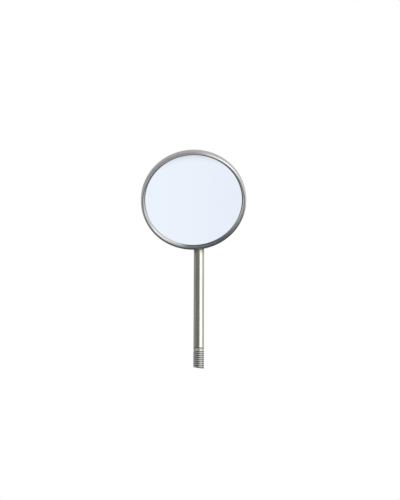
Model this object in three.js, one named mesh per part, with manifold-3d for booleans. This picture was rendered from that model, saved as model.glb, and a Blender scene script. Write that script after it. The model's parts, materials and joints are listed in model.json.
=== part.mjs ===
// The head of a dental mouth mirror: a round glass with a mirror coat on its front, held in a rolled
// steel frame, on a straight stem whose end is threaded to screw into a handle.
//
// Millimetres, +Z up. The stem runs up the Z axis. The origin is on that axis at the neck groove above
// the thread, which is level with the handle's mouth. The mirror faces -Y and leans down towards the
// stem, which joins the frame a little to the right of its lowest point.
import * as THREE from "three";
import Module from "manifold-3d";
import { mergeVertices } from "three/addons/utils/BufferGeometryUtils.js";

// ---- Driving dimensions ----
const FRAME_DIAMETER = 24.0; // outside of the frame, a number 5 head
const OPENING_DIAMETER = 22.06; // clear width inside the frame's front lip
const FACE_ANGLE = THREE.MathUtils.degToRad(44); // between the mirror's plane and the stem
const JOINT_ANGLE = THREE.MathUtils.degToRad(8); // round the frame, from its lowest point to the stem
const STEM_DIAMETER = 2.38;
const STEM_LENGTH = 24.2; // from the neck groove to the frame's wall, along the stem's axis
const THREAD_DIAMETER = 2.5; // M2.5 x 0.45
const THREAD_PITCH = 0.45;
const STUD_LENGTH = 4.46; // from the neck groove to the tip, along the stem's axis
const GLASS_THICKNESS = 0.75;
const BETWEEN_PIECES = 0.02; // gap between pieces that touch
const UNDER_COAT = 0.01; // gap between the glass and the coat on its front

// ---- Sizes of the frame's section ----
const FRAME_RADIUS = FRAME_DIAMETER / 2;
const OPENING_RADIUS = OPENING_DIAMETER / 2;
const BORE_RADIUS = 11.62; // inside of the frame's wall
const REAR_LIP_RADIUS = 11.1; // inside of the lip that is rolled over the back plate
const REAR_LIP_THICKNESS = 0.25;
const REAR_LIP_CHAMFER = 0.1;
const REAR_ROUND = 0.5;
const CROWN_RADIUS = 11.55; // where the front lip is highest
const CROWN_HEIGHT = 2.2;
const LIP_ROUND_HEIGHT = 0.55; // of the round outside the crown
const LIP_SLOPE_INWARDS = 0.6; // half axes of the ellipse that the lip's inner side follows
const LIP_SLOPE_HEIGHT = 1.6;
const LIP_SLOPE_END = THREE.MathUtils.degToRad(150); // where the inner side stops
const LIP_UNDERSIDE = 1.37;

// ---- The stack inside the frame, from the back, as heights above the frame's rear ----
const PLATE_BOTTOM = REAR_LIP_THICKNESS + BETWEEN_PIECES;
const PLATE_THICKNESS = 0.25;
const PLATE_RADIUS = BORE_RADIUS - 2 * BETWEEN_PIECES;
const PANEL_STAND = 0.1; // how far the back plate's middle stands behind the frame
const PANEL_RADIUS = 10.3;
const PANEL_EDGE = 0.1; // width of the small bevel at the edge of the middle
const PANEL_EDGE_HEIGHT = 0.04;
const PANEL_STEP = 0.35; // width of the slope around the middle
const SLOPE_OFFSET = 0.12; // how far the slope's inside is nearer the middle than its outside
const COAT_THICKNESS = 0.03;
const COAT_RADIUS = 11.3;
const BOARD_RADIUS = 10.1;
const GLASS_RADIUS = 11.35;
const GLASS_CHAMFER = 0.12;
const COAT_FRONT = LIP_UNDERSIDE - BETWEEN_PIECES;
const COAT_BACK = COAT_FRONT - COAT_THICKNESS;
const GLASS_FRONT = COAT_BACK - UNDER_COAT;
const GLASS_BACK = GLASS_FRONT - GLASS_THICKNESS;
const BOARD_BACK = PLATE_THICKNESS - PANEL_STAND + BETWEEN_PIECES;
const BOARD_FRONT = GLASS_BACK - BETWEEN_PIECES;

// ---- Sizes of the stem and its joint ----
const STEM_RADIUS = STEM_DIAMETER / 2;
const JOINT_HEIGHT = 0.8; // where the stem's axis meets the frame's wall, above its rear
const WELD_RADIUS = 0.17;
const THREAD_RADIUS = THREAD_DIAMETER / 2;
const THREAD_DEPTH = 0.6134 * THREAD_PITCH;
const ROOT_HALF_WIDTH = THREAD_PITCH / 12;
const TIP_SLANT = THREE.MathUtils.degToRad(15); // the stud's end is cropped aslant
const TIP_FACES = THREE.MathUtils.degToRad(120); // the way round from +X that the slant faces
const TIP_DROP = THREAD_RADIUS * Math.tan(TIP_SLANT); // from the end's middle to its lowest point
const FIRST_GROOVE = -0.51; // height of the thread groove's upper end
const FIRST_GROOVE_ANGLE = THREE.MathUtils.degToRad(-95); // where that end is, round from +X
const TURNS = (STUD_LENGTH + TIP_DROP + THREAD_PITCH + FIRST_GROOVE) / THREAD_PITCH; // past the tip
const RUN_OUT_TURNS = 0.15; // the groove gets shallower over this at its upper end
const NECK_GROOVE_DEPTH = 0.12;
const NECK_GROOVE_HEIGHT = 0.16;
const NECK_RADIUS = STEM_RADIUS - 0.02; // just under the neck groove
const LAND_RADIUS = 1.12; // the plain stud above the rolled thread
const LAND_END = -0.42;
const THREAD_TOP = -0.62; // below this the thread's crest has its full diameter
const PAST_PART = 3; // how far a solid that is to be cut, or is a cutter, runs past the part

const SEGMENTS = 60; // round the head
const ROD_SEGMENTS = 24; // round the stem

const wasm = await Module();
wasm.setup();

// ---- Shared ways of making a piece ----

// A turned solid about +Z. The profile holds [radius, height] points, anticlockwise.
function turned(profile, segments = SEGMENTS) {
  const points = profile.map(([radius, height]) => new THREE.Vector2(radius, height));
  return new THREE.LatheGeometry(points, segments).rotateX(Math.PI / 2);
}

// The points of an elliptical arc in a profile, from one angle to another.
function arc(radius, height, radiusX, radiusY, from, to, steps) {
  const curve = new THREE.EllipseCurve(radius, height, radiusX, radiusY, from, to, to < from);
  return curve.getPoints(steps).map((p) => [p.x, p.y]);
}

function solidOf(geometry) {
  const bare = geometry.clone().deleteAttribute("normal").deleteAttribute("uv");
  const merged = mergeVertices(bare, 1e-4);
  const mesh = new wasm.Mesh({
    numProp: 3,
    vertProperties: merged.attributes.position.array,
    triVerts: new Uint32Array(merged.index.array),
  });
  return new wasm.Manifold(mesh);
}

function geometryOf(solid) {
  const { vertProperties, triVerts } = solid.getMesh();
  const geometry = new THREE.BufferGeometry();
  geometry.setAttribute("position", new THREE.BufferAttribute(vertProperties, 3));
  geometry.setIndex(new THREE.BufferAttribute(triVerts, 1));
  geometry.computeVertexNormals();
  return geometry;
}

function piece(name, geometry, material) {
  const mesh = new THREE.Mesh(geometry, material);
  mesh.name = name;
  return mesh;
}

// ---- Finishes ----
const polishedSteel = new THREE.MeshStandardMaterial({ color: 0xb4b5b2, roughness: 0.22, metalness: 1 });
const satinSteel = new THREE.MeshStandardMaterial({ color: 0xa4a5a0, roughness: 0.38, metalness: 1 });
const weldMetal = new THREE.MeshStandardMaterial({ color: 0x8f8f8a, roughness: 0.45, metalness: 1 });
const clearGlass = new THREE.MeshStandardMaterial({ color: 0xe9eefb, roughness: 0.02, metalness: 0 });
const mirrorCoat = new THREE.MeshStandardMaterial({ color: 0xeef1fb, roughness: 0.02, metalness: 1 });
const pressedBoard = new THREE.MeshStandardMaterial({ color: 0xd9d4c6, roughness: 0.9, metalness: 0 });
const sealant = new THREE.MeshStandardMaterial({ color: 0xcfd2d4, roughness: 0.7, metalness: 0 });

// ---- The frame: a ring of C section, rolled over at the front and at the rear ----

// The outside of the frame, from its rear face round its wall to its crown. An offset grows it.
function frameOutside(offset) {
  const wallTop = CROWN_HEIGHT - LIP_ROUND_HEIGHT;
  return [
    ...arc(
      FRAME_RADIUS - REAR_ROUND, REAR_ROUND,
      REAR_ROUND + offset, REAR_ROUND + offset,
      -Math.PI / 2, 0, 5,
    ),
    ...arc(
      CROWN_RADIUS, wallTop,
      FRAME_RADIUS - CROWN_RADIUS + offset, LIP_ROUND_HEIGHT + offset,
      0, Math.PI / 2, 6,
    ),
  ];
}

function frameRing() {
  const innerHalfOfLip = arc(
    CROWN_RADIUS, CROWN_HEIGHT - LIP_SLOPE_HEIGHT,
    LIP_SLOPE_INWARDS, LIP_SLOPE_HEIGHT,
    Math.PI / 2, LIP_SLOPE_END, 5,
  ).slice(1);
  const section = [
    ...frameOutside(0),
    ...innerHalfOfLip,
    [OPENING_RADIUS, LIP_UNDERSIDE],
    [BORE_RADIUS, LIP_UNDERSIDE],
    [BORE_RADIUS, REAR_LIP_THICKNESS],
    [REAR_LIP_RADIUS, REAR_LIP_THICKNESS],
    [REAR_LIP_RADIUS, REAR_LIP_CHAMFER],
    [REAR_LIP_RADIUS + REAR_LIP_CHAMFER, 0],
  ];
  return turned([...section, section[0]]);
}

// ---- The pieces inside the frame ----

// The back plate is a stamped pan: its flange is held by the frame's rear lip, and its middle
// stands out just behind it.
function backPlate() {
  const top = PLATE_BOTTOM + PLATE_THICKNESS;
  const slopeTop = PANEL_RADIUS + PANEL_STEP;
  return turned([
    [0, -PANEL_STAND],
    [PANEL_RADIUS - PANEL_EDGE, -PANEL_STAND],
    [PANEL_RADIUS, -PANEL_STAND + PANEL_EDGE_HEIGHT],
    [slopeTop, PLATE_BOTTOM],
    [PLATE_RADIUS, PLATE_BOTTOM],
    [PLATE_RADIUS, top],
    [slopeTop - SLOPE_OFFSET, top],
    [PANEL_RADIUS - SLOPE_OFFSET, -PANEL_STAND + PLATE_THICKNESS],
    [0, -PANEL_STAND + PLATE_THICKNESS],
  ]);
}

function disc(radius, bottom, top) {
  return turned([[0, bottom], [radius, bottom], [radius, top], [0, top]]);
}

function glassDisc() {
  return turned([
    [0, GLASS_BACK],
    [GLASS_RADIUS - GLASS_CHAMFER, GLASS_BACK],
    [GLASS_RADIUS, GLASS_BACK + GLASS_CHAMFER],
    [GLASS_RADIUS, GLASS_FRONT - GLASS_CHAMFER],
    [GLASS_RADIUS - GLASS_CHAMFER, GLASS_FRONT],
    [0, GLASS_FRONT],
  ]);
}

// The sealing compound fills the space between the glass's edge and the frame's wall.
function edgeSeal() {
  const inside = GLASS_RADIUS + BETWEEN_PIECES;
  const outside = BORE_RADIUS - BETWEEN_PIECES;
  const bottom = PLATE_BOTTOM + PLATE_THICKNESS + BETWEEN_PIECES;
  const top = LIP_UNDERSIDE - BETWEEN_PIECES;
  const section = [[inside, bottom], [outside, bottom], [outside, top], [inside, top]];
  return turned([...section, section[0]]);
}

// ---- The stem, turned from rod, with a rolled thread and its head end cut to fit the frame ----

// The line that the thread's groove follows, down from its upper end.
class ThreadLine extends THREE.Curve {
  turnAt(t) {
    return t * TURNS;
  }

  angleAt(t) {
    return FIRST_GROOVE_ANGLE - this.turnAt(t) * 2 * Math.PI;
  }

  getPoint(t, target = new THREE.Vector3()) {
    const turn = this.turnAt(t);
    const shallow = Math.max(0, 1 - turn / RUN_OUT_TURNS) * THREAD_DEPTH;
    const radius = THREAD_RADIUS - THREAD_DEPTH + shallow;
    const angle = this.angleAt(t);
    return target.set(
      radius * Math.cos(angle),
      radius * Math.sin(angle),
      FIRST_GROOVE - turn * THREAD_PITCH,
    );
  }

  // The groove's section stays upright and points away from the axis all along the line.
  computeFrenetFrames(steps) {
    const tangents = [];
    const normals = [];
    const binormals = [];
    for (let i = 0; i <= steps; i++) {
      const angle = this.angleAt(i / steps);
      normals.push(new THREE.Vector3(Math.cos(angle), Math.sin(angle), 0));
      binormals.push(new THREE.Vector3(0, 0, 1));
      tangents.push(new THREE.Vector3(Math.sin(angle), -Math.cos(angle), 0));
    }
    return { tangents, normals, binormals };
  }
}

// The groove as a solid to cut away. Its section widens at 30 degrees a side from its root.
function threadGroove() {
  const flank = ROOT_HALF_WIDTH + THREAD_DEPTH * Math.tan(Math.PI / 6);
  const clear = THREAD_DEPTH + ROOT_HALF_WIDTH;
  const section = new THREE.Shape([
    new THREE.Vector2(0, -ROOT_HALF_WIDTH),
    new THREE.Vector2(THREAD_DEPTH, -flank),
    new THREE.Vector2(clear, -flank),
    new THREE.Vector2(clear, flank),
    new THREE.Vector2(THREAD_DEPTH, flank),
    new THREE.Vector2(0, ROOT_HALF_WIDTH),
  ]);
  const steps = Math.round(TURNS * ROD_SEGMENTS);
  return new THREE.ExtrudeGeometry(section, { steps, extrudePath: new ThreadLine() });
}

function rod() {
  return turned([
    [0, -STUD_LENGTH - PAST_PART / 2],
    [THREAD_RADIUS, -STUD_LENGTH - PAST_PART / 2],
    [THREAD_RADIUS, THREAD_TOP],
    [LAND_RADIUS, LAND_END],
    [NECK_RADIUS, -NECK_GROOVE_HEIGHT],
    [STEM_RADIUS - NECK_GROOVE_DEPTH, -NECK_GROOVE_HEIGHT / 2],
    [STEM_RADIUS, 0],
    [STEM_RADIUS, STEM_LENGTH + PAST_PART],
    [0, STEM_LENGTH + PAST_PART],
  ], ROD_SEGMENTS);
}

// Everything below the stud's slanting end.
function belowTip() {
  const box = new THREE.BoxGeometry(2 * PAST_PART, 2 * PAST_PART, PAST_PART);
  const hinge = new THREE.Vector3(Math.sin(TIP_FACES), -Math.cos(TIP_FACES), 0);
  const place = new THREE.Matrix4().makeRotationAxis(hinge, TIP_SLANT).setPosition(0, 0, -STUD_LENGTH);
  return solidOf(box.translate(0, 0, -PAST_PART / 2).applyMatrix4(place));
}

// ---- Where the head is ----
// The head is built about its own axis, with the rear of its frame at height 0. This turns it to
// its lean and puts the point where the stem meets its wall on top of the stem.
const headPlace = new THREE.Matrix4();
{
  const facing = new THREE.Vector3(0, -Math.cos(FACE_ANGLE), -Math.sin(FACE_ANGLE));
  const sideways = new THREE.Vector3(1, 0, 0);
  const lowest = new THREE.Vector3(0, Math.sin(FACE_ANGLE), -Math.cos(FACE_ANGLE));
  const centre = new THREE.Vector3(0, 0, STEM_LENGTH)
    .addScaledVector(lowest, -FRAME_RADIUS * Math.cos(JOINT_ANGLE))
    .addScaledVector(sideways, -FRAME_RADIUS * Math.sin(JOINT_ANGLE))
    .addScaledVector(facing, -JOINT_HEIGHT);
  headPlace.makeBasis(sideways, lowest.clone().negate(), facing);
  headPlace.setPosition(centre);
}

// What the frame takes up, plus everything behind its rear face, which the stem and the weld are
// cut back to.
function spaceOfHead(gap) {
  const wide = FRAME_RADIUS + PAST_PART;
  return solidOf(turned([
    [0, -PAST_PART],
    [wide, -PAST_PART],
    [wide, -gap],
    ...frameOutside(gap),
    [0, CROWN_HEIGHT + gap],
  ]).applyMatrix4(headPlace));
}

function stem() {
  const threaded = solidOf(rod()).subtract(solidOf(threadGroove())).subtract(belowTip());
  return geometryOf(threaded.subtract(spaceOfHead(BETWEEN_PIECES)));
}

// The weld is a bead round the end of the stem, bent to follow the frame's wall.
function weldBead() {
  const bead = new THREE.TorusGeometry(STEM_RADIUS, WELD_RADIUS, 10, 40);
  const position = bead.attributes.position;
  const toHead = headPlace.clone().invert();
  const point = new THREE.Vector3();
  const along = new THREE.Vector3(0, 0, 1).transformDirection(toHead);
  for (let i = 0; i < position.count; i++) {
    const angle = Math.atan2(position.getY(i), position.getX(i));
    // How far up the stem's side the frame's wall is at this angle.
    point.set(STEM_RADIUS * Math.cos(angle), STEM_RADIUS * Math.sin(angle), 0).applyMatrix4(toHead);
    const a = along.x ** 2 + along.y ** 2;
    const b = point.x * along.x + point.y * along.y;
    const c = point.x ** 2 + point.y ** 2 - FRAME_RADIUS ** 2;
    position.setZ(i, position.getZ(i) + (-b - Math.sqrt(b * b - a * c)) / a);
  }
  const stemSpace = turned([
    [0, 0],
    [STEM_RADIUS + BETWEEN_PIECES, 0],
    [STEM_RADIUS + BETWEEN_PIECES, STEM_LENGTH + PAST_PART],
    [0, STEM_LENGTH + PAST_PART],
  ], ROD_SEGMENTS);
  const cut = solidOf(bead).subtract(solidOf(stemSpace)).subtract(spaceOfHead(BETWEEN_PIECES));
  const parts = cut.decompose().sort((p, q) => q.volume() - p.volume());
  return geometryOf(parts[0]);
}

// ---- Assembly ----
const mouthMirror = new THREE.Group();

const head = new THREE.Group();
head.applyMatrix4(headPlace);
head.add(
  piece("frame_ring", frameRing(), polishedSteel),
  piece("back_plate", backPlate(), satinSteel),
  piece("backing_board", disc(BOARD_RADIUS, BOARD_BACK, BOARD_FRONT), pressedBoard),
  piece("mirror_glass", glassDisc(), clearGlass),
  piece("mirror_coat", disc(COAT_RADIUS, COAT_BACK, COAT_FRONT), mirrorCoat),
  piece("edge_seal", edgeSeal(), sealant),
);
mouthMirror.add(
  head,
  piece("stem", stem(), satinSteel),
  piece("weld_bead", weldBead(), weldMetal),
);

export default mouthMirror;
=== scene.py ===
"""A dental mouth mirror head: a round glass mirror held in a rolled steel frame, on a straight steel
stem whose end is threaded for a handle.

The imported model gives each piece's place and its outer sizes. This script makes the fine meshes of
six pieces, the finish of every piece, and a small studio round them. Lengths are in metres, and the
row's frame is used throughout: +Z runs up the stem, and the mirror faces -Y and leans down.
"""
import json
import math

import bmesh
import bpy
from mathutils import Matrix, Vector, noise


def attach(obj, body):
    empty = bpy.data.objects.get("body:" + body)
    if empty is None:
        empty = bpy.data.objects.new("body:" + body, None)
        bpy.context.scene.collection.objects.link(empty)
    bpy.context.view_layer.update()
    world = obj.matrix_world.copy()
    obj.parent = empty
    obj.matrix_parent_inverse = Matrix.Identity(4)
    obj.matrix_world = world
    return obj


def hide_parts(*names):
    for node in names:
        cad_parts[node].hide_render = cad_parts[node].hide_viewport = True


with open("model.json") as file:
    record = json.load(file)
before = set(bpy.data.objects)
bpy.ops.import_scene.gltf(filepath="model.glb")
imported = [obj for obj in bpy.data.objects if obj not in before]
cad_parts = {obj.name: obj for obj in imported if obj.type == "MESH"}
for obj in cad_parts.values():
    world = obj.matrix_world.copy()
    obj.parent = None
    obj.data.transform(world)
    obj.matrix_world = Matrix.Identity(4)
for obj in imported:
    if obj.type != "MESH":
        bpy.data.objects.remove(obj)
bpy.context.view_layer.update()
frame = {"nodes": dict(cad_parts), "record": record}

MM = 0.001

# ---- Where the head is ----
# The head has a place of its own: its rear is at height 0, and its axis points the way the mirror
# faces. The stem joins it near the side where y is lowest.
MOUNTS = {mount["name"]: mount for mount in frame["record"]["mounts"]}
PANEL_STAND = 0.1 * MM  # how far the middle of the back plate stands behind the frame's rear
FACING = -Vector(MOUNTS["back_panel"]["axis"]).normalized()
SIDEWAYS = Vector((1, 0, 0))
UP_THE_HEAD = FACING.cross(SIDEWAYS)
REAR_CENTRE = Vector(MOUNTS["back_panel"]["pos_m"]) + PANEL_STAND * FACING
HEAD = Matrix.Translation(REAR_CENTRE) @ Matrix((SIDEWAYS, UP_THE_HEAD, FACING)).transposed().to_4x4()
STEM = Matrix.Identity(4)
TIP_MIDDLE = Vector(MOUNTS["stud_tip"]["pos_m"])
TIP_FACING = Vector(MOUNTS["stud_tip"]["axis"]).normalized()


def reach(node, place):
    """A node's smallest and largest radius about a place's axis, and its lowest and highest point."""
    to_place = place.inverted()
    points = [to_place @ vertex.co for vertex in frame["nodes"][node].data.vertices]
    radii = [math.hypot(point.x, point.y) for point in points]
    heights = [point.z for point in points]
    return min(radii), max(radii), min(heights), max(heights)


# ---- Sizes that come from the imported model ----
OPENING_RADIUS, FRAME_RADIUS, _, CROWN_HEIGHT = reach("frame_ring", HEAD)
_, GLASS_RADIUS, GLASS_BACK, GLASS_FRONT = reach("mirror_glass", HEAD)
_, COAT_RADIUS, _, COAT_FRONT = reach("mirror_coat", HEAD)
_, PLATE_RADIUS, _, PLATE_FRONT = reach("back_plate", HEAD)
_, BOARD_RADIUS, BOARD_BACK, BOARD_FRONT = reach("backing_board", HEAD)
_, STUD_RADIUS, _, STEM_TOP = reach("stem", STEM)

# ---- Sizes of the frame's section ----
BORE_RADIUS = 11.62 * MM
REAR_LIP_RADIUS = 11.1 * MM
REAR_LIP_THICKNESS = 0.25 * MM
REAR_ROUND = 0.5 * MM
CROWN_RADIUS = 11.55 * MM
LIP_ROUND_HEIGHT = 0.55 * MM
LIP_SLOPE_HEIGHT = 1.6 * MM
LIP_EDGE_THICKNESS = 0.07 * MM
# The slope is part of an ellipse that would meet the opening 30 degrees short of level. It ends a
# little before, where the lip's rounded edge starts.
LIP_SLOPE_MEETS = math.radians(30)
LIP_SLOPE_END = 147
ROLLING_WAVE = 0.012 * MM  # how far the rolled lip wanders from a true circle
SMALL_GAP = 0.02 * MM
LIP_UNDERSIDE = COAT_FRONT + SMALL_GAP

# ---- Sizes of the back plate ----
PANEL_RADIUS = 10.3 * MM
PANEL_STEP = 0.35 * MM
PLATE_THICKNESS = 0.25 * MM
PRESS_ROUND = 0.14 * MM

# ---- Sizes of the edges of the glass and the board ----
GLASS_GROUND_EDGE = 0.12 * MM
GLASS_CORNER_ROUND = 0.03 * MM
BOARD_ROUND = 0.08 * MM

# ---- Sizes of the stem and its thread ----
STEM_RADIUS = 1.19 * MM
NECK_RADIUS = STEM_RADIUS - 0.02 * MM  # just under the neck groove
NECK_GROOVE_RADIUS = STEM_RADIUS - 0.12 * MM
NECK_GROOVE_HEIGHT = 0.16 * MM
LAND_RADIUS = 1.12 * MM  # the plain stud above the rolled thread
LAND_END = -0.42 * MM
THREAD_TOP = -0.62 * MM
PITCH = 0.45 * MM
THREAD_DEPTH = 0.47 * PITCH  # rolling leaves it short of its full form
THREAD_ROOT_HALF_WIDTH = PITCH / 12
THREAD_FLANK = math.radians(30)  # how far each side of a groove is from square to the stem
THREAD_SOFTNESS = 0.016 * MM  # the steps over which the thread's corners are averaged
FIRST_GROOVE = -0.51 * MM
FIRST_GROOVE_ANGLE = math.radians(-95)
RUN_OUT_TURNS = 0.15
TIP_BURR = 0.05 * MM  # how much the edge of the cropped end is rounded

# ---- Sizes of the weld ----
WELD_RADIUS = 0.17 * MM
WELD_THINNING = 0.93  # the share of that radius that it has between its lumps
WELD_LUMPS = [(0.22, 0.35 * MM), (0.1, 0.12 * MM)]  # how high, as a share of the radius, and how wide

# ---- How finely the meshes are divided ----
ROUND_THE_HEAD = 320  # steps round the turned pieces of the head
ROUND_THE_STEM = 144
ROUND_THE_BEAD = 20
THREAD_ROWS = 240
NECK_ROWS = 22
SHANK_ROWS = 60
JOINT_ROWS = 24


# ==== Meshes ====

def arc(centre, size, start, end, steps):
    """Points of an elliptical arc in an outline, from one angle to another in degrees."""
    points = []
    for step in range(steps + 1):
        angle = math.radians(start + (end - start) * step / steps)
        points.append((centre[0] + size[0] * math.cos(angle), centre[1] + size[1] * math.sin(angle)))
    return points


def rounded(outline, radius, steps=5):
    """An outline with each of its inner corners rounded. Its two ends stay as they are."""
    points = [outline[0]]
    for before, corner, after in zip(outline, outline[1:], outline[2:]):
        here = Vector(corner)
        back, ahead = Vector(before) - here, Vector(after) - here
        cut = min(radius, back.length * 0.45, ahead.length * 0.45)
        start, end = here + back.normalized() * cut, here + ahead.normalized() * cut
        for step in range(steps + 1):
            t = step / steps
            points.append(tuple(start * (1 - t) ** 2 + here * 2 * t * (1 - t) + end * t ** 2))
    return points + [outline[-1]]


def piece_from(mesh_maker, name, crease_degrees):
    """A shaded object from a filled bmesh. Edges sharper than the crease angle stay sharp."""
    bmesh.ops.recalc_face_normals(mesh_maker, faces=mesh_maker.faces)
    mesh = bpy.data.meshes.new(name)
    mesh_maker.to_mesh(mesh)
    mesh_maker.free()
    mesh.shade_smooth()
    mesh.set_sharp_from_angle(angle=math.radians(crease_degrees))
    piece = bpy.data.objects.new(name, mesh)
    bpy.context.scene.collection.objects.link(piece)
    return piece


def fill_between(maker, lower, upper):
    """Faces between two rows of vertices that run round. A row of one vertex is a pole."""
    count = max(len(lower), len(upper))
    for i in range(count):
        j = (i + 1) % count
        corners = [
            lower[i % len(lower)], lower[j % len(lower)],
            upper[j % len(upper)], upper[i % len(upper)],
        ]
        maker.faces.new(list(dict.fromkeys(corners)))


def with_flats_divided(outline):
    """An outline with more points where it starts or ends on the axis, which evens out the faces."""
    shares = [0.02, 0.1, 0.25, 0.45, 0.7, 0.9]
    points = list(outline)
    if points[0][0] < SMALL_GAP:
        rim = points[1]
        points[1:1] = [(rim[0] * share, rim[1]) for share in shares]
    if points[-1][0] < SMALL_GAP:
        rim = points[-2]
        points[-1:-1] = [(rim[0] * share, rim[1]) for share in reversed(shares)]
    return points


def turned(name, outline, place, closed=False, crease_degrees=30, wander=None):
    """A piece turned about a place's axis, from an outline of (radius, height) points.

    A closed outline makes a ring. Any other starts and ends on the axis. wander moves a point of the
    outline a little, from its radius, its height and the angle round the axis.
    """
    maker = bmesh.new()
    rows = []
    for radius, height in with_flats_divided(outline):
        if radius < SMALL_GAP:
            rows.append([maker.verts.new(place @ Vector((0, 0, height)))])
            continue
        row = []
        for step in range(ROUND_THE_HEAD):
            angle = 2 * math.pi * step / ROUND_THE_HEAD
            r, h = wander(radius, height, angle) if wander else (radius, height)
            row.append(maker.verts.new(place @ Vector((r * math.cos(angle), r * math.sin(angle), h))))
        rows.append(row)
    for lower, upper in zip(rows, rows[1:]):
        fill_between(maker, lower, upper)
    if closed:
        fill_between(maker, rows[-1], rows[0])
    return piece_from(maker, name, crease_degrees)


def smooth_between(low, high, value):
    t = min(max((value - low) / (high - low), 0), 1)
    return t * t * (3 - 2 * t)


# ---- The frame ----

def rolled_wander(radius, height, angle):
    """The front lip is rolled over by a wheel, so its edge isn't a perfect circle."""
    share = smooth_between(CROWN_RADIUS, OPENING_RADIUS, radius) if height > COAT_FRONT else 0
    wave = noise.noise(Vector((3 * math.cos(angle), 3 * math.sin(angle), 0.7)))
    return radius + ROLLING_WAVE * share * wave, height


def make_frame_ring():
    wall_top = CROWN_HEIGHT - LIP_ROUND_HEIGHT
    edge_round = LIP_EDGE_THICKNESS / 2
    lip_edge = (OPENING_RADIUS + edge_round, LIP_UNDERSIDE + edge_round)
    slope_base = (CROWN_RADIUS, CROWN_HEIGHT - LIP_SLOPE_HEIGHT)
    slope_size = ((CROWN_RADIUS - OPENING_RADIUS) / math.cos(LIP_SLOPE_MEETS), LIP_SLOPE_HEIGHT)
    outline = [
        *arc((FRAME_RADIUS - REAR_ROUND, REAR_ROUND), (REAR_ROUND, REAR_ROUND), -90, 0, 14),
        *arc((CROWN_RADIUS, wall_top), (FRAME_RADIUS - CROWN_RADIUS, LIP_ROUND_HEIGHT), 0, 90, 18),
        *arc(slope_base, slope_size, 90, LIP_SLOPE_END, 22)[1:],
        *arc(lip_edge, (edge_round, edge_round), 170, 270, 6),
        (BORE_RADIUS, LIP_UNDERSIDE),
        (BORE_RADIUS, REAR_LIP_THICKNESS),
        *arc(
            (REAR_LIP_RADIUS + REAR_LIP_THICKNESS / 2, REAR_LIP_THICKNESS / 2),
            (REAR_LIP_THICKNESS / 2, REAR_LIP_THICKNESS / 2),
            90, 270, 10,
        ),
    ]
    ring = turned("rolled_frame", outline, HEAD, closed=True, wander=rolled_wander)
    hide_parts("frame_ring")
    return ring


# ---- The back plate, the glass and the board ----

def make_back_plate():
    """A pressed pan. Its middle stands out behind the frame, and its flange is under the rear lip."""
    flange = PLATE_FRONT - PLATE_THICKNESS
    slope_end = PANEL_RADIUS + PANEL_STEP
    outside = rounded([
        (0, -PANEL_STAND),
        (PANEL_RADIUS, -PANEL_STAND),
        (slope_end, flange),
        (PLATE_RADIUS, flange),
    ], PRESS_ROUND)
    inside = rounded([
        (PLATE_RADIUS, PLATE_FRONT),
        (slope_end - PLATE_THICKNESS / 2, PLATE_FRONT),
        (PANEL_RADIUS - PLATE_THICKNESS / 2, PLATE_THICKNESS - PANEL_STAND),
        (0, PLATE_THICKNESS - PANEL_STAND),
    ], PRESS_ROUND)
    plate = turned("pressed_back_plate", outside + inside, HEAD)
    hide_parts("back_plate")
    return plate


def make_glass():
    """The glass has its edges ground off all round, at the front and at the back."""
    flat_radius = GLASS_RADIUS - GLASS_GROUND_EDGE
    outline = rounded([
        (0, GLASS_BACK),
        (flat_radius, GLASS_BACK),
        (GLASS_RADIUS, GLASS_BACK + GLASS_GROUND_EDGE),
        (GLASS_RADIUS, GLASS_FRONT - GLASS_GROUND_EDGE),
        (flat_radius, GLASS_FRONT),
        (0, GLASS_FRONT),
    ], GLASS_CORNER_ROUND, steps=3)
    glass = turned("ground_mirror_glass", outline, HEAD, crease_degrees=20)
    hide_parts("mirror_glass")
    return glass


def make_board():
    """The board is punched, and both its edges are rounded alike."""
    outline = rounded([
        (0, BOARD_BACK),
        (BOARD_RADIUS, BOARD_BACK),
        (BOARD_RADIUS, BOARD_FRONT),
        (0, BOARD_FRONT),
    ], BOARD_ROUND)
    board = turned("punched_board", outline, HEAD)
    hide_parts("backing_board")
    return board


# ---- The stem ----

def frame_wall_radius(height):
    """The radius of the frame's outside at a height above its rear."""
    wall_top = CROWN_HEIGHT - LIP_ROUND_HEIGHT
    if height < REAR_ROUND:
        width_squared = REAR_ROUND ** 2 - (REAR_ROUND - height) ** 2
        return FRAME_RADIUS - REAR_ROUND + math.sqrt(max(width_squared, 0))
    if height > wall_top:
        rise = min((height - wall_top) / LIP_ROUND_HEIGHT, 1)
        return CROWN_RADIUS + (FRAME_RADIUS - CROWN_RADIUS) * math.sqrt(1 - rise ** 2)
    return FRAME_RADIUS


def is_past_joint(point):
    """Whether a point is inside the frame's outside, or behind its rear face."""
    x, y, height = HEAD.inverted() @ point
    return height < -SMALL_GAP or math.hypot(x, y) < frame_wall_radius(height) + SMALL_GAP


def joint_height(x, y):
    """How far up a line along the stem the frame's wall or the level of its rear face is met."""
    low, high = STEM_TOP - 6 * STEM_RADIUS, STEM_TOP + STEM_RADIUS
    for _ in range(40):
        middle = (low + high) / 2
        if is_past_joint(Vector((x, y, middle))):
            high = middle
        else:
            low = middle
    return low


def plain_radius(height):
    """The stem's radius without its thread."""
    corners = [
        (THREAD_TOP, STUD_RADIUS),
        (LAND_END, LAND_RADIUS),
        (-NECK_GROOVE_HEIGHT, NECK_RADIUS),
        (-NECK_GROOVE_HEIGHT / 2, NECK_GROOVE_RADIUS),
        (0, NECK_RADIUS),
        (SMALL_GAP, STEM_RADIUS),
    ]
    if height <= THREAD_TOP:
        return STUD_RADIUS
    for (low, start), (high, end) in zip(corners, corners[1:]):
        if height <= high:
            return start + (end - start) * (height - low) / (high - low)
    return STEM_RADIUS


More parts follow.
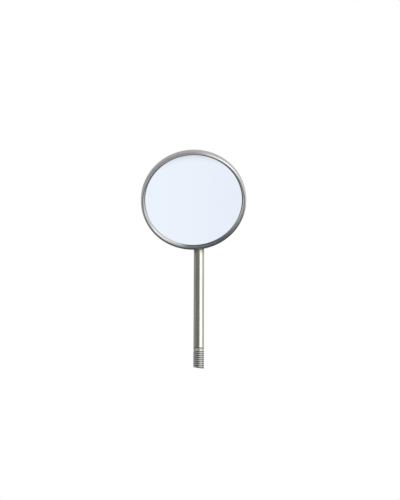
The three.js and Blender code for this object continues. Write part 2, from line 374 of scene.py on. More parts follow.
def groove_depth(height, angle):
    """How deep the thread's groove is at a height and an angle. The thread is right-handed."""
    round_once = ((angle - FIRST_GROOVE_ANGLE) / (2 * math.pi)) % 1
    turns_down = (FIRST_GROOVE - height) / PITCH + round_once
    groove = round(turns_down)
    off_centre = abs(turns_down - groove) * PITCH
    run_out = min(max((groove - round_once) / RUN_OUT_TURNS, 0), 1)
    up_the_flank = max(off_centre - THREAD_ROOT_HALF_WIDTH, 0) / math.tan(THREAD_FLANK)
    depth = THREAD_DEPTH - up_the_flank
    return min(max(depth, 0), THREAD_DEPTH) * run_out


def rolled_radius(height, angle):
    """The stem's radius with its thread. Rolling leaves the thread's corners a little round."""
    if height > LAND_END:
        return plain_radius(height)
    shifts = [THREAD_SOFTNESS * step for step in range(-3, 4)]
    depth = sum(groove_depth(height + shift, angle) for shift in shifts) / len(shifts)
    return min(plain_radius(height), STUD_RADIUS - depth)


def tip_height(x, y):
    """How high the cropped end is at a point across the stem."""
    return TIP_MIDDLE.z - (TIP_FACING.x * x + TIP_FACING.y * y) / TIP_FACING.z


def tip_rim(angle):
    """The radius and the height at which the thread meets the cropped end."""
    radius = LAND_RADIUS
    for _ in range(12):
        height = tip_height(radius * math.cos(angle), radius * math.sin(angle)) + TIP_BURR
        radius += (rolled_radius(height, angle) - radius) / 2
    return radius, height


def make_stem():
    """A rod as rows of vertices, up from its cropped end: the thread, the neck groove, the shank, and
    the end that is ground to lie against the frame."""
    angles = [2 * math.pi * step / ROUND_THE_STEM for step in range(ROUND_THE_STEM)]
    rims = [tip_rim(angle) for angle in angles]
    joint = [joint_height(STEM_RADIUS * math.cos(a), STEM_RADIUS * math.sin(a)) for a in angles]
    maker = bmesh.new()

    def row_of(places):
        return [
            maker.verts.new((r * math.cos(a), r * math.sin(a), z))
            for a, (r, z) in zip(angles, places)
        ]

    rows = [[maker.verts.new(TIP_MIDDLE)]]
    for share in (0.4, 0.7, 0.9, 0.97):
        rows.append(row_of([
            (share * r, tip_height(share * r * math.cos(a), share * r * math.sin(a)))
            for a, (r, _) in zip(angles, rims)
        ]))
    for step in range(THREAD_ROWS):
        places = []
        for angle, (_, low) in zip(angles, rims):
            height = low + (LAND_END - low) * step / THREAD_ROWS
            places.append((rolled_radius(height, angle), height))
        rows.append(row_of(places))
    for step in range(NECK_ROWS + 1):
        height = LAND_END * (1 - step / NECK_ROWS) + SMALL_GAP * step / NECK_ROWS
        rows.append(row_of([(plain_radius(height), height)] * ROUND_THE_STEM))
    for step in range(1, SHANK_ROWS + 1):
        rows.append(row_of([
            (STEM_RADIUS, SMALL_GAP + (top - SMALL_GAP) * step / SHANK_ROWS) for top in joint
        ]))
    for step in range(JOINT_ROWS - 1, 0, -1):
        radius = STEM_RADIUS * step / JOINT_ROWS
        rows.append(row_of([
            (radius, joint_height(radius * math.cos(a), radius * math.sin(a))) for a in angles
        ]))
    rows.append([maker.verts.new((0, 0, joint_height(0, 0)))])
    for lower, upper in zip(rows, rows[1:]):
        fill_between(maker, lower, upper)
    stem = piece_from(maker, "threaded_stem", crease_degrees=32)
    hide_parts("stem")
    return stem


def make_weld():
    """A lumpy bead that follows the end of the stem round, and is ground off level with the rear."""
    maker = bmesh.new()
    rows = []
    for step in range(ROUND_THE_STEM):
        angle = 2 * math.pi * step / ROUND_THE_STEM
        outwards = Vector((math.cos(angle), math.sin(angle), 0))
        rim = STEM_RADIUS * outwards
        rim.z = joint_height(rim.x, rim.y)
        row = []
        for turn in range(ROUND_THE_BEAD):
            around = 2 * math.pi * turn / ROUND_THE_BEAD
            spot = outwards * math.cos(around) + Vector((0, 0, math.sin(around)))
            lump = 1
            for rise, width in WELD_LUMPS:
                lump += rise * noise.noise((rim + WELD_RADIUS * spot) / width)
            inside = HEAD.inverted() @ (rim + WELD_RADIUS * WELD_THINNING * lump * spot)
            inside.z = max(inside.z, -SMALL_GAP * 0.8)
            row.append(maker.verts.new(HEAD @ inside))
        rows.append(row)
    for lower, upper in zip(rows, rows[1:] + rows[:1]):
        fill_between(maker, lower, upper)
    bead = piece_from(maker, "fused_weld_bead", crease_degrees=60)
    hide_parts("weld_bead")
    return bead


# ==== Finishes ====

def give(tree, socket, value):
    """Links an input to another node's output, or sets it to a constant."""
    if isinstance(value, bpy.types.NodeSocket):
        tree.links.new(value, socket)
    else:
        socket.default_value = value


def add(tree, kind, inputs=None, **settings):
    """A node of a tree, with its settings and its inputs."""
    node = tree.nodes.new(kind)
    for name, value in settings.items():
        setattr(node, name, value)
    for name, value in (inputs or {}).items():
        give(tree, node.inputs[name], value)
    return node


def maths(tree, operation, first, second=0.0):
    return add(tree, "ShaderNodeMath", {0: first, 1: second}, operation=operation).outputs[0]


def vectors(tree, operation, first, second, output="Vector"):
    node = add(tree, "ShaderNodeVectorMath", {0: first, 1: second}, operation=operation)
    return node.outputs[output]


def times(tree, vector, factor):
    node = add(tree, "ShaderNodeVectorMath", {0: vector, "Scale": factor}, operation="SCALE")
    return node.outputs[0]


def eased(tree, value, low, high, bottom=0.0, top=1.0):
    """A value that rises smoothly from bottom to top as the input goes from low to high."""
    node = add(tree, "ShaderNodeMapRange", {
        "Value": value, "From Min": low, "From Max": high, "To Min": bottom, "To Max": top,
    }, interpolation_type="SMOOTHSTEP")
    return node.outputs["Result"]


def mixed(tree, share, first, second):
    """A colour between two others."""
    node = add(tree, "ShaderNodeMix", data_type="RGBA")
    colour_inputs = [socket for socket in node.inputs if socket.type == "RGBA"]
    for socket, value in zip([node.inputs[0], *colour_inputs], [share, first, second]):
        give(tree, socket, value)
    return next(socket for socket in node.outputs if socket.type == "RGBA")


def object_place(tree):
    return add(tree, "ShaderNodeTexCoord").outputs["Object"]


def clouds(tree, place, scale, detail):
    """Soft uneven values round 0.5."""
    inputs = {"Vector": place, "Scale": scale, "Detail": detail}
    return add(tree, "ShaderNodeTexNoise", inputs).outputs[0]


def tone(red, green, blue):
    return (red, green, blue, 1.0)


def grey(brightness):
    return tone(brightness, brightness, brightness)


def new_group(name, inputs, outputs):
    """An empty node group with named inputs, given with their usual values, and named outputs."""
    group = bpy.data.node_groups.new(name, "ShaderNodeTree")
    for label, kind, value in inputs:
        group.interface.new_socket(name=label, in_out="INPUT", socket_type=kind).default_value = value
    for label, kind in outputs:
        group.interface.new_socket(name=label, in_out="OUTPUT", socket_type=kind)
    given = group.nodes.new("NodeGroupInput").outputs
    result = group.nodes.new("NodeGroupOutput").inputs
    return group, given, result


def use(tree, group, inputs=None):
    """A group placed in a material, with its inputs set."""
    return add(tree, "ShaderNodeGroup", inputs, node_tree=group).outputs


NUMBER, VECTOR = "NodeSocketFloat", "NodeSocketVector"


def around_axis_group():
    """Where a point is about an axis: its radius and height in mm, and its direction round it."""
    group, given, result = new_group(
        "place about an axis",
        [("Centre", VECTOR, (0, 0, 0)), ("Axis", VECTOR, (0, 0, 1)), ("Side", VECTOR, (1, 0, 0))],
        [("Radius", NUMBER), ("Height", NUMBER), ("Across", NUMBER), ("Up", NUMBER)],
    )
    offset = vectors(group, "SUBTRACT", object_place(group), given["Centre"])
    in_mm = times(group, offset, 1 / MM)
    third = vectors(group, "CROSS_PRODUCT", given["Axis"], given["Side"])
    height = vectors(group, "DOT_PRODUCT", in_mm, given["Axis"], "Value")
    across = vectors(group, "DOT_PRODUCT", in_mm, given["Side"], "Value")
    up = vectors(group, "DOT_PRODUCT", in_mm, third, "Value")
    across_squared = maths(group, "MULTIPLY", across, across)
    up_squared = maths(group, "MULTIPLY", up, up)
    radius = maths(group, "SQRT", maths(group, "ADD", across_squared, up_squared))
    for label, value in [("Radius", radius), ("Height", height), ("Across", across), ("Up", up)]:
        group.links.new(value, result[label])
    return group


def turning_lines_group():
    """The fine lines that turning and polishing leave round an axis, and broad uneven patches."""
    group, given, result = new_group(
        "lines round an axis",
        [
            ("Radius", NUMBER, 0.0), ("Height", NUMBER, 0.0),
            ("Across", NUMBER, 0.0), ("Up", NUMBER, 0.0),
            ("Lines per mm", NUMBER, 20.0), ("Length", NUMBER, 3.0), ("Detail", NUMBER, 3.0),
        ],
        [("Lines", NUMBER), ("Patches", NUMBER)],
    )
    safe_radius = maths(group, "MAXIMUM", given["Radius"], 0.01)
    round_across, round_up = (
        maths(group, "DIVIDE", maths(group, "DIVIDE", given[label], safe_radius), given["Length"])
        for label in ("Across", "Up")
    )
    place = add(group, "ShaderNodeCombineXYZ", {
        0: maths(group, "MULTIPLY", given["Radius"], given["Lines per mm"]),
        1: maths(group, "MULTIPLY", given["Height"], given["Lines per mm"]),
        2: round_across,
    }).outputs[0]
    lines = add(group, "ShaderNodeTexNoise", {
        "Vector": place, "W": round_up, "Scale": 1.0, "Detail": given["Detail"], "Roughness": 0.6,
    }, noise_dimensions="4D").outputs[0]
    straight_place = {0: given["Across"], 1: given["Up"], 2: given["Height"]}
    patch_place = add(group, "ShaderNodeCombineXYZ", straight_place).outputs[0]
    patches = clouds(group, patch_place, 0.8, 2.0)
    group.links.new(lines, result["Lines"])
    group.links.new(patches, result["Patches"])
    return group


def scratches_group():
    """Sparse hairline scratches in two directions, as a mask that is 1 in a scratch."""
    group, given, result = new_group(
        "hairline scratches",
        [("Scale", NUMBER, 600.0), ("Amount", NUMBER, 0.3)],
        [("Mask", NUMBER)],
    )
    place = object_place(group)
    threshold = maths(group, "SUBTRACT", 1.0, given["Amount"])
    total = None
    for angle, stretch in [(0.5, 24.0), (-0.9, 17.0)]:
        laid = add(group, "ShaderNodeMapping", {
            "Vector": place, "Rotation": (angle, angle * 0.7, angle), "Scale": (1.0, stretch, 1.0),
        }).outputs[0]
        streaks = clouds(group, laid, given["Scale"], 1.0)
        mask = eased(group, streaks, maths(group, "MULTIPLY", threshold, 0.95), threshold)
        total = mask if total is None else maths(group, "MAXIMUM", total, mask)
    group.links.new(total, result["Mask"])
    return group


def edge_wear_group():
    """Where corners stand out and are rubbed bright, broken up so that it isn't even."""
    group, given, result = new_group(
        "rubbed edges",
        [("Start", NUMBER, 0.51), ("Full", NUMBER, 0.56), ("Break-up", NUMBER, 900.0)],
        [("Mask", NUMBER)],
    )
    standing_out = add(group, "ShaderNodeNewGeometry").outputs["Pointiness"]
    broken = clouds(group, object_place(group), given["Break-up"], 3.0)
    mask = eased(group, standing_out, given["Start"], given["Full"])
    uneven = maths(group, "MULTIPLY", mask, eased(group, broken, 0.35, 0.6, 0.3))
    group.links.new(uneven, result["Mask"])
    return group


def pits_group():
    """Small round pits scattered over a surface, as a mask that is 1 in a pit."""
    group, given, result = new_group(
        "pits",
        [("Scale", NUMBER, 4000.0), ("Size", NUMBER, 0.3), ("Share", NUMBER, 0.4)],
        [("Mask", NUMBER)],
    )
    cells = add(group, "ShaderNodeTexVoronoi", {
        "Vector": object_place(group), "Scale": given["Scale"],
    })
    near = maths(group, "SUBTRACT", 1.0, eased(group, cells.outputs["Distance"], 0.0, given["Size"]))
    chosen = add(group, "ShaderNodeSeparateColor", {0: cells.outputs["Color"]}).outputs[0]
    picked = maths(group, "LESS_THAN", chosen, given["Share"])
    group.links.new(maths(group, "MULTIPLY", near, picked), result["Mask"])
    return group


ABOUT_AXIS = around_axis_group()
TURNING_LINES = turning_lines_group()
SCRATCHES = scratches_group()
EDGE_WEAR = edge_wear_group()
PITS = pits_group()


def emptied(holder):
    """The node tree of a material or a world, with nothing in it."""
    holder.use_nodes = True
    holder.node_tree.nodes.clear()
    return holder.node_tree


class Finish:
    """A material with its one shader, to which a maker links what varies over the surface."""

    def __init__(self, name, constants):
        self.material = bpy.data.materials.new(name)
        self.tree = emptied(self.material)
        self.shader = add(self.tree, "ShaderNodeBsdfPrincipled", constants)
        output = self.tree.nodes.new("ShaderNodeOutputMaterial")
        self.tree.links.new(self.shader.outputs[0], output.inputs["Surface"])

    def about_head(self):
        return self.about(REAR_CENTRE, FACING)

    def about(self, centre, axis):
        return use(self.tree, ABOUT_AXIS, {"Centre": centre, "Axis": axis, "Side": SIDEWAYS})

    def lines(self, place, per_mm, length, detail=3.0):
        inputs = {name: place[name] for name in ("Radius", "Height", "Across", "Up")}
        inputs.update({"Lines per mm": per_mm, "Length": length, "Detail": detail})
        return use(self.tree, TURNING_LINES, inputs)

    def link(self, value, socket):
        self.tree.links.new(value, self.shader.inputs[socket])

    def bump(self, height, distance):
        bump = add(self.tree, "ShaderNodeBump", {"Height": height, "Distance": distance})
        self.link(bump.outputs[0], "Normal")


# Painted shade, like a heat tint from the weld, darkens the frame's bottom: fully out to the first
# distance from the end of the stem, and not at all past the second.
JOINT_SHADE_FULL = 7 * MM
JOINT_SHADE_REACHES = 16.5 * MM


def rolled_steel():
    """The frame: stainless strip, rolled, polished round and round, with painted shade near the weld
    and in the crevice at the lip's edge.
    """
    finish = Finish("rolled steel", {"Metallic": 1.0})
    tree = finish.tree
    place = finish.about_head()
    lines = finish.lines(place, 26.0, 0.5)
    worn = use(tree, EDGE_WEAR, {"Start": 0.505, "Full": 0.54})["Mask"]
    scratches = use(tree, SCRATCHES, {"Scale": 700.0, "Amount": 0.3})["Mask"]
    patches = eased(tree, lines["Patches"], 0.3, 0.7)
    patched = mixed(tree, patches, tone(0.72, 0.725, 0.72), tone(0.79, 0.79, 0.785))
    rubbed = mixed(tree, worn, patched, tone(0.84, 0.84, 0.83))
    # Painted shade in the crevice where the lip's underside meets the glass.
    crevice_shade = maths(tree, "MULTIPLY",
                 eased(tree, place["Radius"], OPENING_RADIUS / MM + 0.16, OPENING_RADIUS / MM + 0.03),
                 eased(tree, place["Height"], LIP_UNDERSIDE / MM + 0.16, LIP_UNDERSIDE / MM + 0.02))
    from_joint = vectors(tree, "DISTANCE", object_place(tree), Vector((0, 0, STEM_TOP)), "Value")
    uneven = maths(tree, "ADD", from_joint, maths(tree, "MULTIPLY", lines["Patches"], 2.0 * MM))
    # Painted shade on the frame near the weld, fullest on its outer part.
    near_joint_mask = maths(tree, "MULTIPLY", eased(tree, uneven, JOINT_SHADE_REACHES, JOINT_SHADE_FULL),
                 eased(tree, place["Radius"], OPENING_RADIUS / MM + 0.1, CROWN_RADIUS / MM, 0.5, 1.0))
    joint_darkened = mixed(tree, maths(tree, "MULTIPLY", near_joint_mask, 0.86), rubbed, tone(0.13, 0.13, 0.135))
    finish.link(mixed(tree, maths(tree, "MULTIPLY", crevice_shade, 0.75), joint_darkened, grey(0.09)), "Base Color")
    base_roughness = eased(tree, lines["Patches"], 0.25, 0.75, 0.11, 0.16)
    lined = maths(tree, "ADD", base_roughness, eased(tree, lines["Lines"], 0.3, 0.7, 0.0, 0.06))
    finish.link(maths(tree, "ADD", lined, maths(tree, "MULTIPLY", scratches, 0.12)), "Roughness")
    finish.bump(lines["Lines"], 0.0006 * MM)
    return finish.material


def pressed_steel():
    """The back plate: brushed sheet, with straight grain across it, pressed to shape."""
    finish = Finish("pressed steel", {"Metallic": 1.0})
    tree = finish.tree
    place = finish.about_head()
    grain_place = add(tree, "ShaderNodeCombineXYZ", {
        0: maths(tree, "MULTIPLY", place["Across"], 0.5),
        1: maths(tree, "MULTIPLY", place["Up"], 34.0),
        2: maths(tree, "MULTIPLY", place["Height"], 34.0),
    }).outputs[0]
    grain = clouds(tree, grain_place, 1.0, 4.0)
    scratches = use(tree, SCRATCHES, {"Scale": 420.0, "Amount": 0.33})["Mask"]
    near_edge = eased(tree, place["Radius"], PANEL_RADIUS / MM - 0.5, PANEL_RADIUS / MM - 0.2)
    rubbed = use(tree, EDGE_WEAR, {"Start": 0.505, "Full": 0.55})["Mask"]
    worn = maths(tree, "MULTIPLY", near_edge, rubbed)
    base = mixed(tree, eased(tree, grain, 0.3, 0.7), tone(0.56, 0.565, 0.55), tone(0.68, 0.68, 0.665))
    finish.link(mixed(tree, worn, base, tone(0.80, 0.80, 0.79)), "Base Color")
    satin = eased(tree, grain, 0.25, 0.75, 0.28, 0.42)
    roughness = maths(tree, "SUBTRACT", satin, maths(tree, "MULTIPLY", scratches, 0.08))
    finish.link(roughness, "Roughness")
    finish.bump(maths(tree, "SUBTRACT", grain, maths(tree, "MULTIPLY", scratches, 0.5)), 0.004 * MM)
    return finish.material


def ground_steel():
    """The stem: rod ground and polished round, darker near the weld, with painted shade in its
    thread's roots and neck groove.
    """
    finish = Finish("ground steel", {"Metallic": 1.0})
    tree = finish.tree
    place = finish.about(Vector((0, 0, 0)), Vector((0, 0, 1)))
    lines = finish.lines(place, 30.0, 0.6)
    scratches = use(tree, SCRATCHES, {"Scale": 650.0, "Amount": 0.32})["Mask"]
    worn = use(tree, EDGE_WEAR, {"Start": 0.51, "Full": 0.56})["Mask"]
    pits = use(tree, PITS, {"Scale": 2600.0, "Size": 0.32, "Share": 0.5})["Mask"]
    patches = eased(tree, lines["Patches"], 0.3, 0.7)
    steel = mixed(tree, patches, tone(0.61, 0.615, 0.55), tone(0.67, 0.67, 0.605))
    rubbed = mixed(tree, maths(tree, "MULTIPLY", worn, 0.7), steel, tone(0.84, 0.84, 0.81))
    # Painted shade: the thread's roots and the neck groove are darkened almost to black.
    root_radius = (STUD_RADIUS - THREAD_DEPTH) / MM
    root = eased(tree, place["Radius"], root_radius + 0.085, root_radius + 0.025)
    rolled = eased(tree, place["Height"], LAND_END / MM, LAND_END / MM - 0.1)
    in_thread = maths(tree, "MULTIPLY", root, rolled)
    neck = eased(tree, place["Radius"], NECK_RADIUS / MM - 0.01, NECK_GROOVE_RADIUS / MM + 0.04)
    in_neck = maths(tree, "MULTIPLY", neck, eased(tree, place["Height"], -0.24, -0.16))
    groove_shade_mask = maths(tree, "MAXIMUM", in_thread, in_neck)
    burnished = mixed(tree, rolled, rubbed, tone(0.88, 0.88, 0.85))
    groove_shaded = mixed(tree, maths(tree, "MULTIPLY", groove_shade_mask, 0.84), burnished, tone(0.07, 0.066, 0.058))
    # Towards its joint with the frame the stem is darker, rougher and pitted.
    joint_low = STEM_TOP / MM - 2.4
    uneven = maths(tree, "ADD", place["Height"], maths(tree, "MULTIPLY", lines["Patches"], 0.8))
    near_joint_mask = eased(tree, uneven, joint_low - 0.5, joint_low + 1.1)
    joint_darkened = mixed(tree, maths(tree, "MULTIPLY", near_joint_mask, 0.75), groove_shaded, tone(0.27, 0.25, 0.23))
    pitted = maths(tree, "MULTIPLY", pits, eased(tree, near_joint_mask, 0.35, 0.8))
    finish.link(mixed(tree, pitted, joint_darkened, grey(0.03)), "Base Color")
    polish = eased(tree, lines["Lines"], 0.3, 0.7, 0.12, 0.19)
    dulled = maths(tree, "ADD", polish, maths(tree, "MULTIPLY", scratches, 0.10))
    spoilt = maths(tree, "MULTIPLY", maths(tree, "MAXIMUM", near_joint_mask, groove_shade_mask), 0.18)
    finish.link(maths(tree, "ADD", dulled, spoilt), "Roughness")
    relief = maths(tree, "SUBTRACT", lines["Lines"], maths(tree, "MULTIPLY", pitted, 9.0))
    finish.bump(relief, 0.0010 * MM)
    return finish.material


def weld_metal():
    """The weld: cleaned but not polished, lumpy, oxidised in its hollows, with small gas pits."""
    finish = Finish("weld metal", {"Metallic": 1.0})
    tree = finish.tree
    lumps = clouds(tree, object_place(tree), 3200.0, 4.0)
    pits = use(tree, PITS, {"Scale": 3400.0, "Size": 0.42, "Share": 0.45})["Mask"]
    worn = use(tree, EDGE_WEAR, {"Start": 0.5, "Full": 0.56, "Break-up": 2500.0})["Mask"]
    high = eased(tree, lumps, 0.35, 0.65)
    base = mixed(tree, high, tone(0.11, 0.105, 0.10), tone(0.30, 0.29, 0.275))
    rubbed = mixed(tree, worn, base, tone(0.52, 0.52, 0.50))
    finish.link(mixed(tree, pits, rubbed, grey(0.02)), "Base Color")
    finish.link(eased(tree, lumps, 0.3, 0.7, 0.52, 0.32), "Roughness")
    finish.bump(maths(tree, "SUBTRACT", lumps, pits), 0.03 * MM)
    return finish.material


def clear_glass():
    """The glass: polished on its face, ground at its edge."""
    finish = Finish("clear glass", {"Metallic": 0.0, "Transmission Weight": 1.0, "IOR": 1.52})
    tree = finish.tree
    place = finish.about_head()
    edge = eased(tree, place["Radius"], (GLASS_RADIUS - GLASS_GROUND_EDGE) / MM,
                 (GLASS_RADIUS - GLASS_GROUND_EDGE / 2) / MM)
    wiped = use(tree, SCRATCHES, {"Scale": 260.0, "Amount": 0.3})["Mask"]
    finish.link(mixed(tree, edge, tone(0.985, 0.99, 1.0), tone(0.86, 0.92, 0.90)), "Base Color")
    ground = maths(tree, "MULTIPLY", edge, 0.45)
    finish.link(maths(tree, "ADD", ground, maths(tree, "MULTIPLY", wiped, 0.004)), "Roughness")
    return finish.material


def mirror_coating():
    """The reflecting coat: even over its face, and duller where its edge is handled under the lip."""
    finish = Finish("mirror coating", {"Metallic": 1.0})
    tree = finish.tree
    place = finish.about_head()
    lines = finish.lines(place, 1.0, 1.0, 2.0)
    uneven = maths(tree, "ADD", place["Radius"], maths(tree, "MULTIPLY", lines["Patches"], 0.2))
    rim = eased(tree, uneven, OPENING_RADIUS / MM + 0.1, COAT_RADIUS / MM + 0.1)
    face = mixed(tree, lines["Patches"], tone(0.93, 0.945, 0.98), tone(0.945, 0.955, 0.985))
    finish.link(mixed(tree, rim, face, tone(0.35, 0.33, 0.30)), "Base Color")
    finish.link(eased(tree, rim, 0.0, 1.0, 0.0, 0.2), "Roughness")
    return finish.material


def pressed_board():
    """The board: pale pulp with longer fibres and a few darker ones."""
    finish = Finish("pressed board", {"Metallic": 0.0})
    tree = finish.tree
    pulp = clouds(tree, object_place(tree), 2600.0, 5.0)
    fibres = use(tree, SCRATCHES, {"Scale": 240.0, "Amount": 0.4})["Mask"]
    base = mixed(tree, eased(tree, pulp, 0.3, 0.7), tone(0.60, 0.55, 0.46), tone(0.76, 0.72, 0.63))
    finish.link(mixed(tree, fibres, base, tone(0.46, 0.40, 0.31)), "Base Color")
    finish.link(eased(tree, pulp, 0.3, 0.7, 0.8, 0.95), "Roughness")
    finish.bump(maths(tree, "ADD", pulp, fibres), 0.012 * MM)
    return finish.material


def sealing_compound():
    """The seal: a matt compound, pressed in, with small bubbles."""
    finish = Finish("sealing compound", {"Metallic": 0.0})
    tree = finish.tree
    folds = clouds(tree, object_place(tree), 900.0, 3.0)
    bubbles = use(tree, PITS, {"Scale": 3000.0, "Size": 0.35, "Share": 0.3})["Mask"]
    base = mixed(tree, folds, tone(0.30, 0.31, 0.32), tone(0.42, 0.43, 0.44))
    finish.link(mixed(tree, bubbles, base, tone(0.16, 0.16, 0.17)), "Base Color")
    finish.link(eased(tree, folds, 0.3, 0.7, 0.6, 0.8), "Roughness")
    finish.bump(maths(tree, "SUBTRACT", folds, bubbles), 0.01 * MM)
    return finish.material


# ==== The studio ====

# How bright the studio is at each azimuth, in degrees from the camera's side and positive to its
# right. The walls have a big window on the right, and the floor's glow has painted shade behind the
# head.
WALLS = [
    (-180, 0.40), (-115, 0.40), (-81, 0.31), (-55, 0.22), (-10, 0.23), (11, 0.26),
    (17, 1.25), (30, 1.75), (66, 1.75), (75, 1.40), (79, 0.70), (122, 0.66), (140, 0.42), (180, 0.40),
]
FAR_FLOOR = [
    (-180, 0.12), (-155, 0.30), (-130, 0.54), (-98, 0.60), (-66, 0.46), (5, 0.42),
    (26, 0.95), (90, 0.90), (128, 0.22), (150, 0.12), (180, 0.12),
]
BRIGHTEST = 1.75
LEFT_CEILING = 0.45
RIGHT_CEILING = 0.60
WALL_TINT = (1.0, 1.0, 0.98)
# What is reflected of the floor glows: painted shade near the head and behind it.
NEAR_FLOOR = 0.09
FLOOR_BEHIND = 0.12
NEAR_FLOOR_ENDS = 125 * MM  # distances from the point below the stem
FAR_FLOOR_STARTS = 185 * MM
BEHIND_STARTS, BEHIND_FULL = -20 * MM, 50 * MM  # along Y
FLOOR_HEIGHT = -90 * MM
FLOOR_HALF_SIDE = 2.5
LIGHT_SIDE = 1.2
LIGHT_HEIGHT = 0.8
LIGHT_POWER = 9.0
# A painted pool of pale light glows on the floor where the mirror faces, seen only in reflections.
POOL_MIDDLE = Vector((5 * MM, -57 * MM, FLOOR_HEIGHT))
POOL_RADIUS = 22 * MM
POOL_FADES_OUT = 31 * MM
# The pool has painted shade towards its right, which wanders.
POOL_SHADE_STARTS, POOL_SHADE_FULL = -5 * MM, 40 * MM  # along X
POOL_SHADE_WANDERS = 20 * MM


def by_azimuth(tree, parts, brightnesses):
    """A grey that changes with the direction round the studio."""
    azimuth = maths(tree, "ARCTAN2", parts["X"], maths(tree, "MULTIPLY", parts["Y"], -1.0))
    share = maths(tree, "ADD", maths(tree, "DIVIDE", azimuth, 2 * math.pi), 0.5)
    ramp = add(tree, "ShaderNodeValToRGB", {0: share})
    ramp.color_ramp.interpolation = "EASE"
    stops = ramp.color_ramp.elements
    stops.remove(stops[1])
    for number, (angle, brightness) in enumerate(brightnesses):
        stop = stops.new(angle / 360 + 0.5) if number else stops[0]
        stop.color = [brightness / BRIGHTEST] * 3 + [1.0]
    return times(tree, ramp.outputs[0], BRIGHTEST)


def show(tree, reflected, seen, output_kind):
    """Ends a tree with one shader for reflections and another for what the camera sees itself."""
    straight = add(tree, "ShaderNodeLightPath").outputs["Is Camera Ray"]
    shaders = {0: straight, 1: reflected.outputs[0], 2: seen.outputs[0]}
    chosen = add(tree, "ShaderNodeMixShader", shaders)
    output = tree.nodes.new(output_kind)
    tree.links.new(chosen.outputs[0], output.inputs["Surface"])


def make_world():
    """What the steel and the glass reflect. A camera sees plain white instead."""
    world = bpy.data.worlds.new("studio")
    bpy.context.scene.world = world
    tree = emptied(world)
    direction = add(tree, "ShaderNodeTexCoord").outputs["Generated"]
    parts = add(tree, "ShaderNodeSeparateXYZ", {0: direction}).outputs
    walls = vectors(tree, "MULTIPLY", by_azimuth(tree, parts, WALLS), WALL_TINT)
    ceiling = eased(tree, parts["X"], -0.3, 0.4, LEFT_CEILING, RIGHT_CEILING)
    room = mixed(tree, eased(tree, parts["Z"], 0.38, 0.52), walls, ceiling)
    reflected = add(tree, "ShaderNodeBackground", {"Color": room, "Strength": 1.0})
    seen = add(tree, "ShaderNodeBackground", {"Color": grey(1), "Strength": 1.0})
    show(tree, reflected, seen, "ShaderNodeOutputWorld")


def make_floor():
    """A plain pale floor far below the head. What is reflected of it glows: it has painted shade
    round the head and behind it, is paler further out, and has a painted pool of light where the
    mirror faces."""
    maker = bmesh.new()
    corners = [(-1, -1), (1, -1), (1, 1), (-1, 1)]
    maker.faces.new([
        maker.verts.new((x * FLOOR_HALF_SIDE, y * FLOOR_HALF_SIDE, FLOOR_HEIGHT)) for x, y in corners
    ])
    floor = piece_from(maker, "studio_floor", crease_degrees=30)
    material = bpy.data.materials.new("studio floor")
    tree = emptied(material)
    place = object_place(tree)
    parts = add(tree, "ShaderNodeSeparateXYZ", {0: place}).outputs
    from_head = vectors(tree, "DISTANCE", place, Vector((0, 0, FLOOR_HEIGHT)), "Value")
    far = eased(tree, from_head, NEAR_FLOOR_ENDS, FAR_FLOOR_STARTS)
    open_floor = mixed(tree, far, grey(NEAR_FLOOR), by_azimuth(tree, parts, FAR_FLOOR))
    behind = eased(tree, parts["Y"], BEHIND_STARTS, BEHIND_FULL)
    near = eased(tree, from_head, FAR_FLOOR_STARTS, NEAR_FLOOR_ENDS)
    shaded = mixed(tree, maths(tree, "MULTIPLY", behind, near), open_floor, grey(FLOOR_BEHIND))
    wander = maths(tree, "MULTIPLY", clouds(tree, place, 28.0, 1.0), POOL_SHADE_WANDERS)
    wandering = maths(tree, "ADD", parts["X"], wander)
    to_the_right = eased(tree, wandering, POOL_SHADE_STARTS, POOL_SHADE_FULL)
    # A painted pool of pale light, shaded to its right.
    painted_pool = mixed(tree, to_the_right, tone(0.89, 0.94, 0.995), tone(0.845, 0.895, 0.975))
    from_pool = vectors(tree, "DISTANCE", place, POOL_MIDDLE, "Value")
    glow = mixed(tree, eased(tree, from_pool, POOL_FADES_OUT, POOL_RADIUS), shaded, painted_pool)
    reflected = add(tree, "ShaderNodeEmission", {"Color": glow, "Strength": 1.0})
    seen = add(tree, "ShaderNodeBsdfPrincipled", {
        "Base Color": tone(0.86, 0.86, 0.87), "Roughness": 0.9,
    })
    show(tree, reflected, seen, "ShaderNodeOutputMaterial")
    floor.data.materials.append(material)


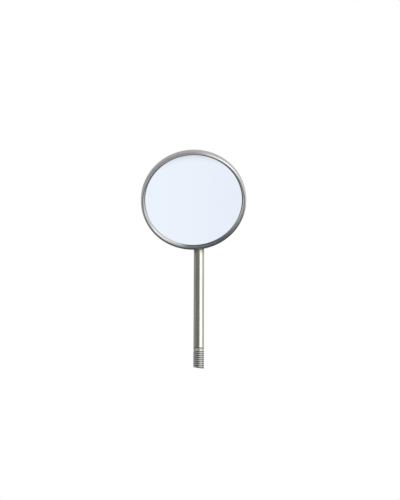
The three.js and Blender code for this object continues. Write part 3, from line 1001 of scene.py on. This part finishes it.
def make_lights():
    """One wide soft light overhead. It lights what isn't steel, and doesn't show in reflections."""
    light = bpy.data.lights.new("overhead", "AREA")
    light.shape = "SQUARE"
    light.size = LIGHT_SIDE
    light.energy = LIGHT_POWER
    lamp = bpy.data.objects.new("overhead", light)
    lamp.location = (0, 0, LIGHT_HEIGHT)
    lamp.visible_glossy = False
    lamp.visible_transmission = False
    bpy.context.scene.collection.objects.link(lamp)


# The camera stands in front of the mirror and a little below it.
CAMERA_AZIMUTH = math.radians(-2.87)
CAMERA_ELEVATION = math.radians(-19.87)
CAMERA_ROLL = math.radians(0.15)
CAMERA_DISTANCE = 260 * MM
CAMERA_LENS = 81.14
AIM_ON_AXIS = Vector((0, 0, 17.8 * MM))
AIM_RIGHT = 0.262 * MM
AIM_UP = 5.484 * MM


def make_camera():
    back = Vector((
        math.sin(CAMERA_AZIMUTH) * math.cos(CAMERA_ELEVATION),
        -math.cos(CAMERA_AZIMUTH) * math.cos(CAMERA_ELEVATION),
        math.sin(CAMERA_ELEVATION),
    ))
    level = back.to_track_quat("Z", "Y").to_matrix()
    turned_view = (level @ Matrix.Rotation(CAMERA_ROLL, 3, "Z")).to_4x4()
    right, up = turned_view.col[0].to_3d(), turned_view.col[1].to_3d()
    aim = AIM_ON_AXIS + AIM_RIGHT * right + AIM_UP * up
    data = bpy.data.cameras.new("camera")
    data.lens = CAMERA_LENS
    data.clip_start = 0.01
    data.clip_end = 20
    camera = bpy.data.objects.new("camera", data)
    camera.matrix_world = Matrix.Translation(aim + CAMERA_DISTANCE * back) @ turned_view
    bpy.context.scene.collection.objects.link(camera)
    bpy.context.scene.camera = camera


# ==== Putting it together ====

make_camera()
make_world()
make_floor()
make_lights()
bpy.context.scene.view_settings.view_transform = "Standard"

FINISHES = {
    make_frame_ring: rolled_steel,
    make_back_plate: pressed_steel,
    make_glass: clear_glass,
    make_board: pressed_board,
    make_stem: ground_steel,
    make_weld: weld_metal,
}
for make_piece, make_finish in FINISHES.items():
    piece = make_piece()
    piece.data.materials.append(make_finish())
    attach(piece, "root")

CARRIED_OVER = {
    "mirror_coat": mirror_coating,
    "edge_seal": sealing_compound,
}
for node, make_finish in CARRIED_OVER.items():
    frame["nodes"][node].data.materials.clear()
    frame["nodes"][node].data.materials.append(make_finish())
